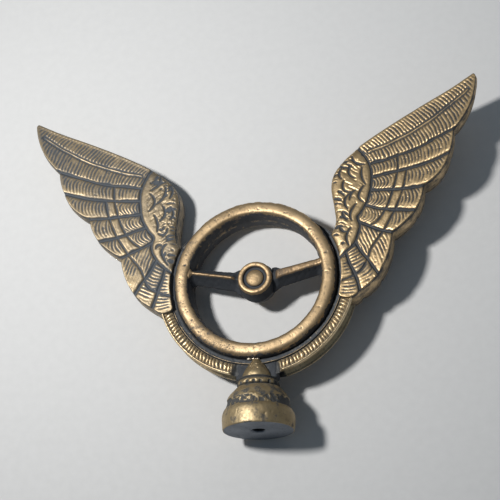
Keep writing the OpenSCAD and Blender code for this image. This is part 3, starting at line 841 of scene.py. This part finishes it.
def build_spoke(side):
    """One spoke: a bright crest, broader on the right, and dark flanks to the parting plane."""
    near_x, far_x = 7.5, 27.8
    xs = np.linspace(6.2, 27.4, 120)
    t = (xs - near_x) / (far_x - near_x)
    centre = 0.6 + 4.3 * t
    half_h = np.clip(4.1 * (1 - t) + 3.4 * t, 3.0, 4.1) + 1.6 * ramp(xs, 24.5, 27.4)
    half_h = half_h + 1.3 * ramp(xs, 10.8, 7.0) ** 2
    crest = 1.6 - 0.4 * t if side > 0 else 0.55 + 1.9 * ramp(xs, 24.8, 27.4) ** 2
    deep = 5.6 - 1.6 * ramp(xs, 9.6, 7.8) + 0.5 * ramp(xs, 25.5, 27.4)
    across = np.linspace(0, 1, 18)
    rows = []
    for c, h, w, d in zip(centre, half_h, crest, deep):
        flank = resample([[-d, 0], [-d + 0.08, w * 0.75], [-d + 0.5, w * 1.1],
                          [-d * 0.55, w + (h - w) * 0.35], [0, h]], 0.3)
        at = np.linspace(0, 1, len(flank))
        flank = np.stack([np.interp(across, at, flank[:, k]) for k in range(2)], axis=1)
        upper = np.vstack([flank, (flank * [-1, 1])[::-1][1:]])
        rows.append(mirrored(upper) + [0, c])
    loop = np.array(rows)
    x = np.broadcast_to(xs[:, None], loop.shape[:2]) * side
    points = np.stack([x, loop[..., 0], loop[..., 1] + WHEEL_Z], axis=-1)
    normals = outward_normals(points, points.mean(1, keepdims=True), False, True)
    points = points + normals * (0.09 * rough(points, 1.4, 71 + side))[..., None]
    high = np.abs(loop[..., 0]) - (deep[:, None] - 0.85)
    off = np.abs(loop[..., 1] - centre[:, None])
    stain = 0.95 - 0.95 * ramp(high + 0.22 * rough(points, 1.2, 75), 0.0, 0.45)
    stain -= 0.25 * hump(loop[..., 0], 0.5) * (off > 2)
    stain += (0.45 if side > 0 else 0.25) * ramp(rough(points, 1.5, 79), -0.5, 0.8)
    stain = darkest(stain, ramp(xs, 9.0, 8.0)[:, None])
    name = "spoke_right" if side > 0 else "spoke_left"
    return grid_piece(name, points, stain, spider_brass, False, True, caps=True)


def build_hub():
    """The hub: a ring round a groove on each face, with flanks that meet at the parting plane."""
    half = [(3.2, -4.6), (3.7, -4.55), (4.45, -4.6), (4.7, -4.95), (4.85, -5.5), (5.2, -5.8),
            (5.8, -5.88), (6.4, -5.8), (6.8, -5.35), (7.05, -4.4), (7.3, -2.6), (7.75, -0.8),
            (7.95, 0.0)]
    loop = mirrored(resample(np.array(half), 0.22), closed=False)
    angles = full_turn(220)
    points = swept(loop, angles)
    down = np.cos(angles)[:, None]
    flare = ramp(loop[:, 0], 6.6, 7.95)
    grown = 1 + 0.085 * flare * np.clip(down, 0, 1) ** 6
    middle = np.array([0, 0, WHEEL_Z])
    points = (points - middle) * np.stack([grown, np.ones_like(grown), grown], axis=-1) + middle
    normals = outward_normals(points, middle, True, False)
    points = points + normals * (0.05 * rough(points, 1.2, 81))[..., None]
    radius, tall = loop[:, 0], np.abs(loop[:, 1])
    groove = ramp(radius, 5.0, 4.7)
    flank = ramp(radius, 6.85, 7.1)
    stain = darkest(groove, 0.95 * flank) + 0.10 * rough(points, 1.5, 84)
    stain -= 0.25 * flank * hump(tall, 0.4)
    return grid_piece("hub", points, stain, hub_brass, True, False)


def build_button(name, face):
    """The domed button in the hub. face is -1 in front and 1 behind."""
    radius, dome, seat = 3.6, 1.35, 4.72
    arc = np.linspace(0, 1, 26) * math.pi / 2
    profile = np.stack([radius * np.sin(arc) ** 0.92, dome * np.cos(arc) ** 0.9], axis=1)
    lathe = turned(profile, full_turn(96))
    y = face * (seat + lathe[..., 2])
    points = np.stack([lathe[..., 0], y, lathe[..., 1] + WHEEL_Z], axis=-1)
    points[..., 1] += face * np.minimum(0.06 * rough(points, 1.6, 91) - 0.03, 0)
    stain = 0.9 * ramp(profile[:, 0], 3.3, 3.58) + 0.08 * rough(points, 1.5, 93)
    return grid_piece(name, points, stain, rim_brass, True, False)


def build_bell():
    """The turned foot with its cast band, and the tapped hole in its underside."""
    hole, hole_top, bevel, base = 2.5, 9.5, 0.7, 13.6
    pitch, tool_marks = 1.0, 0.55
    wall = [(0.0, hole_top), (hole * 0.5, hole_top), (hole, hole_top - 0.6), (hole, bevel),
            (hole + bevel, 0.0)]
    side = smooth_line([(base, 0.0), (base + 0.35, 0.5), (BELL_R, 4.4), (BELL_R - 0.3, 6.6),
                        (BELL_R - 1.0, 7.9)])
    top = smooth_line([(BELL_R - 1.9, 11.7), (BELL_R - 2.9, 13.7), (9.7, 15.6), (8.7, 16.7)])
    profile = np.vstack([wall, [(base - 0.15, 0.0)], side, [(BELL_R - 1.75, 8.4)],
                         [(BELL_R - 2.2, 11.2)], top, [(7.6, BELL_TOP), (0.0, BELL_TOP)]])
    profile = resample(profile, 0.3)
    angles = full_turn(300)
    points = turned(profile, angles)
    r, z = profile.T
    turn = angles[:, None]
    outside = (r > base - 0.1) | (z > bevel) & (r > hole + 0.5)
    twist = 1.1 * noise(points, 5, 101)
    ragged = 0.35 * rough(points, 2.2, 102)
    band = ramp(z + ragged, 7.8, 8.5) * ramp(z - ragged, 12.0, 11.2) * outside
    ribs = np.abs(np.sin(11 * turn + 0.9 * (z - 9.5) + 2.5 * twist))
    scrawl = 1 - np.minimum(np.abs(rough(points, 1.9, 105)) * 2.6, 1)
    patch = ramp(noise(points, 5, 104), -0.55, 0.25)
    leafy = (0.55 * ribs + 0.75 * scrawl) * patch + 0.25 * noise(points, 0.9, 106)
    polish = 0.13 * rough(points, 2.6, 107) - 0.18 * pits(points, 1.1, 109, 0.66)
    thread = (r > hole - 0.05) & (z > bevel) & (z < hole_top - 0.5) & (r < hole + 0.05)
    spiral = 0.2 * np.abs(((z / pitch + turn / (2 * math.pi)) % 1.0) * 2 - 1) * thread
    upper = ramp(z, 11.4, 12.2) * outside
    shift = np.where(outside, np.minimum(polish - 0.05, 0), 0) + band * 0.42 * (leafy - 0.35)
    shift += 0.16 * upper * (rough(points, 2.2, 111) - 0.6) + spiral
    spread(points, r, shift)
    flat = (z < 0.01) & (r > hole + bevel - 0.2) & (r < base - 0.05)
    rings = 0.02 * np.sin(2 * math.pi * r / tool_marks) + 0.015 * noise(points, 2, 113)
    points[..., 2] += np.where(flat, np.abs(rings), 0)
    stain = band * (0.95 - 0.9 * ramp(leafy, 0.50, 0.95))
    mottled = 0.62 * ramp(rough(points, 2.4, 115) + 0.55 * upper, 0.05, 1.0) * outside
    stain = darkest(stain, mottled) + 0.08 * outside
    stain = darkest(stain, 0.9 * ramp(z, 16.0, 16.7) * outside)
    stain += 0.5 * pits(points, 1.1, 109, 0.68) * outside
    stain = np.where(thread | (z > hole_top - 1) & (r < hole), 0.85, stain)
    piece = grid_piece("bell_casting", points, stain, bell_brass, True, False)
    piece.data.materials.append(face_metal)
    for polygon in piece.data.polygons:
        at = polygon.center / MM
        radius = math.hypot(at.x, at.y)
        if at.z < bevel and radius < base - 0.08 or at.z < hole_top + 0.1 and radius < hole + 0.3:
            polygon.material_index = 1
    return piece


def build_collar():
    """The fluted collar on the bell."""
    profile = [(6.9, BELL_TOP - 0.1), (7.9, BELL_TOP + 0.1), (8.4, BELL_TOP + 0.6),
               (8.35, BELL_TOP + 1.4), (7.9, BELL_TOP + 2.2), (7.35, BELL_TOP + 2.45),
               (7.35, BELL_TOP + 2.7), (7.8, BELL_TOP + 2.95), (7.9, COLLAR_TOP), (0.0, COLLAR_TOP)]
    profile = resample(np.array(profile), 0.2)
    angles = full_turn(320)
    points = turned(profile, angles)
    r, z = profile.T
    turn = angles[:, None]
    edge = BELL_TOP + 1.35 + 0.4 * rough(points * [1, 1, 0.01], 2.4, 120)
    low = ramp(edge - z, -0.3, 0.3) * (r > 7)
    flutes = np.abs(np.sin(8 * turn + 1.6 * noise(points, 3, 121)))
    shift = -0.65 * low * (1 - flutes) ** 1.2 + 0.10 * (rough(points, 1.5, 123) - 0.7)
    spread(points, r, shift)
    foot = 0.9 * ramp(z, BELL_TOP + 0.5, BELL_TOP + 0.1)
    stain = darkest(0.95 * low * ramp(flutes, 0.8, 0.4), 0.95 * (z > BELL_TOP + 2.25), foot)
    flank = ramp(np.abs(points[..., 0]), 6.5, 7.3)
    stain = darkest(stain + 0.25 * ramp(rough(points, 1.8, 125), 0.1, 1.0), 0.8 * flank)
    return grid_piece("collar_casting", points, stain, bell_brass, True, False)


def build_spur(name, face):
    """The blunt cone on the collar, against the stem. face is 1 in front and -1 behind."""
    tall, stem_face = 8.1, 2.4
    profile = smooth_line([(5.9, 0.0), (6.15, 0.35), (5.8, 1.7), (4.6, 3.7), (3.1, 5.7),
                           (1.8, 7.3), (1.0, 7.95), (0.0, tall)], 10)
    profile = resample(profile, 0.16)
    radius, level = profile.T
    t = level / tall
    lean = 0.9 + 1.3 * t
    lathe = turned(profile, full_turn(160))
    x, out = lathe[..., 0], lathe[..., 1]
    points = np.stack([x, -face * (lean + out), lathe[..., 2] + (COLLAR_TOP + 0.05)], axis=-1)
    lumps = 0.12 * rough(points, 2.0, 131) - 0.18 * pits(points, 0.9, 133, 0.55)
    towards = np.stack([x, -face * out, np.zeros_like(x)], axis=-1)
    towards = towards / np.maximum(radius, 0.3)[:, None]
    points = points + towards * np.minimum(lumps - 0.05, 0.02)[..., None]
    depth = -face * points[..., 1]
    points[..., 1] = -face * np.maximum(depth, stem_face)
    stain = 0.8 * ramp(depth, 3.9, 3.0) + 0.5 * pits(points, 0.9, 133, 0.55)
    stain += 0.28 * ramp(rough(points, 2.0, 136), 0.1, 1.0)
    stain = darkest(stain, 0.9 * ramp(level, 0.45, 0.1), 0.5 * ramp(t, 0.86, 1.0))
    return grid_piece(name, points, stain, bell_brass, True, False)


def build_solder(name, face):
    """Rough beads of solder where the cone meets the rim. face is 1 in front and -1 behind."""
    angles, arc = full_turn(14), np.linspace(0, math.pi, 9)[:, None]
    half_circle = np.hstack([np.sin(arc), np.cos(arc)])
    round_faces = grid_faces(len(arc), len(angles), False, True)
    joined, faces, dark = [], [], []
    draw = np.random.RandomState(7)
    for k in range(7):
        size = draw.uniform(0.40, 0.75)
        spot = np.array([draw.uniform(-3.4, 0.9), 0, draw.uniform(-0.35, 0.25)])
        ball = turned(half_circle, angles).swapaxes(0, 1)
        ball = ball * size * (1 + 0.3 * rough(ball + k, 0.8, 141)[..., None]) * [1.25, 0.8, 0.7]
        ball = ball + spot + [0, -face * 3.6, WHEEL_Z - RIM_R - 3.0]
        faces += (round_faces + ball[..., 0].size * k).tolist()
        joined.append(ball.reshape(-1, 3))
        dark.append(np.full(ball[..., 0].size, draw.uniform(0.0, 0.35)))
    return make_piece(name, np.vstack(joined), faces, np.concatenate(dark), solder_metal)


# ---- camera ----

CAM_AZIMUTH = math.radians(12.94)
CAM_ELEVATION = math.radians(-22.66)
CAM_ROLL = math.radians(-0.38)
CAM_DISTANCE = 0.5216
CAM_LENS = 93.6
AIM_SIDE = 0.00297
AIM_UP = -0.01299
WHEEL_CENTRE = Vector((0, 0, WHEEL_Z * MM))


def direction(azimuth, elevation):
    """Unit vector from the object towards a viewer at that azimuth and elevation."""
    flat = math.cos(elevation)
    return Vector((math.sin(azimuth) * flat, -math.cos(azimuth) * flat, math.sin(elevation)))


def make_camera():
    """The camera at the photo's viewing angle, aimed a little above the wheel centre."""
    back = direction(CAM_AZIMUTH, CAM_ELEVATION)
    right = Vector((math.cos(CAM_AZIMUTH), math.sin(CAM_AZIMUTH), 0))
    up = back.cross(right)
    turned_right = right * math.cos(CAM_ROLL) + up * math.sin(CAM_ROLL)
    turned_up = up * math.cos(CAM_ROLL) - right * math.sin(CAM_ROLL)
    data = bpy.data.cameras.new("camera")
    data.lens = CAM_LENS
    data.sensor_width = 36
    data.clip_start = 0.01
    data.clip_end = 20
    camera = bpy.data.objects.new("camera", data)
    bpy.context.scene.collection.objects.link(camera)
    place = WHEEL_CENTRE - turned_right * AIM_SIDE - turned_up * AIM_UP + back * CAM_DISTANCE
    turn = Matrix((turned_right, turned_up, back)).transposed()
    camera.matrix_world = Matrix.Translation(place) @ turn.to_4x4()
    bpy.context.scene.camera = camera


make_camera()

# ---- build ----

pieces = [
    (build_wing("wing_right", 1), "right_wing", "wing_brass"),
    (build_wing("wing_left", -1), "left_wing", "wing_brass"),
    (build_rim(), "wheel_rim", "aged_brass"),
    (build_arms(), "ribbed_cradle", "patinated_brass"),
    (build_hoop(), "ribbed_cradle", "patinated_brass"),
    (build_stem(), "ribbed_cradle", "patinated_brass"),
    (build_spoke(1), "wheel_spider", "patinated_brass"),
    (build_spoke(-1), "wheel_spider", "patinated_brass"),
    (build_hub(), "wheel_spider", "patinated_brass"),
    (build_button("button_front", -1), "horn_button", "aged_brass"),
    (build_button("button_back", 1), "rear_button", "aged_brass"),
    (build_bell(), "bell_base", "aged_brass"),
    (build_collar(), "stem_collar", "aged_brass"),
    (build_spur("spur_front", 1), "front_spur", "aged_brass"),
    (build_spur("spur_back", -1), "rear_spur", "aged_brass"),
    (build_solder("solder_front", 1), "solder_fillets", "soft_solder"),
    (build_solder("solder_back", -1), "solder_fillets", "soft_solder"),
]
for piece, cad_node, slot in pieces:
    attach(piece, "root")
    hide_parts(cad_node)

# ---- table, light and world ----

# The ornament lies on the table with the back of the foot and of the left wing.
TABLE_AZIMUTH = math.radians(3.3)
TABLE_ELEVATION = math.radians(-3.4)
TABLE_OFFSET = -0.01475
TABLE_SIZE = 3.0

KEY_PLACE = Vector((-0.161, -0.369, 0.005))
KEY_POWER = 1.58
FILL_WAY = Vector((0.56, -0.825, 0.84))
FILL_DISTANCE = 1.2
FILL_POWER = 0.45
SKY_COLOUR = (0.70, 0.85, 1.0, 1)
SKY_STRENGTH = 0.128


def make_table():
    """The pale table that the ornament lies on, behind it. It shows from its upper side only."""
    normal = direction(TABLE_AZIMUTH, TABLE_ELEVATION)
    bpy.ops.mesh.primitive_plane_add(size=TABLE_SIZE)
    table = bpy.context.object
    table.name = "table"
    table.rotation_mode = "QUATERNION"
    table.rotation_quaternion = normal.to_track_quat("Z", "Y")
    table.location = normal * TABLE_OFFSET + WHEEL_CENTRE
    table.location -= normal * (normal.z * WHEEL_Z * MM)
    material = bpy.data.materials.new("table_card")
    material.use_nodes = True
    tree = material.node_tree
    shader = tree.nodes["Principled BSDF"]
    grain = node(tree, "ShaderNodeTexNoise")
    feed(tree, 900, grain.inputs["Scale"])
    feed(tree, 6, grain.inputs["Detail"])
    # the card is paler to the right and upwards, which evens out the fall-off of the key light
    tone = stretch(tree, grain.outputs["Fac"], 0.3, 0.7, 0, 0.06)
    split = node(tree, "ShaderNodeSeparateXYZ")
    feed(tree, node(tree, "ShaderNodeTexCoord").outputs["Object"], split.inputs[0])
    across = stretch(tree, split.outputs["X"], -0.2, 0.2, 0.04, 0.43)
    upward = stretch(tree, split.outputs["Y"], -0.1, 0.3, 0.02, 0.68)
    shade = maths(tree, "ADD", maths(tree, "ADD", across, upward), tone)
    feed(tree, colour_mix(tree, shade, (0.50, 0.503, 0.508), (0.93, 0.93, 0.93)),
         shader.inputs["Base Color"])
    feed(tree, 0.85, shader.inputs["Roughness"])
    either = node(tree, "ShaderNodeMixShader")
    feed(tree, node(tree, "ShaderNodeNewGeometry").outputs["Backfacing"], either.inputs[0])
    feed(tree, shader.outputs[0], either.inputs[1])
    feed(tree, node(tree, "ShaderNodeBsdfTransparent").outputs[0], either.inputs[2])
    out = next(n for n in tree.nodes if n.type == "OUTPUT_MATERIAL")
    feed(tree, either.outputs[0], out.inputs["Surface"])
    table.data.materials.append(material)


def area_light(name, place, size, power, colour):
    """A round lamp at a place, turned towards the wheel centre."""
    data = bpy.data.lights.new(name, "AREA")
    data.shape = "DISK"
    data.size = size
    data.energy = power
    data.color = colour
    light = bpy.data.objects.new(name, data)
    bpy.context.scene.collection.objects.link(light)
    light.location = place
    light.rotation_mode = "QUATERNION"
    light.rotation_quaternion = (place - WHEEL_CENTRE).to_track_quat("Z", "Y")


make_table()
area_light("key", WHEEL_CENTRE + KEY_PLACE, 0.05, KEY_POWER, (1.0, 0.985, 0.955))
fill_place = WHEEL_CENTRE + FILL_WAY.normalized() * FILL_DISTANCE
area_light("fill", fill_place, 0.9, FILL_POWER, (0.93, 0.96, 1.0))

world = bpy.data.worlds.new("world")
bpy.context.scene.world = world
world.use_nodes = True
sky = world.node_tree.nodes["Background"]
sky.inputs["Color"].default_value = SKY_COLOUR
sky.inputs["Strength"].default_value = SKY_STRENGTH
bpy.context.scene.view_settings.view_transform = "Standard"
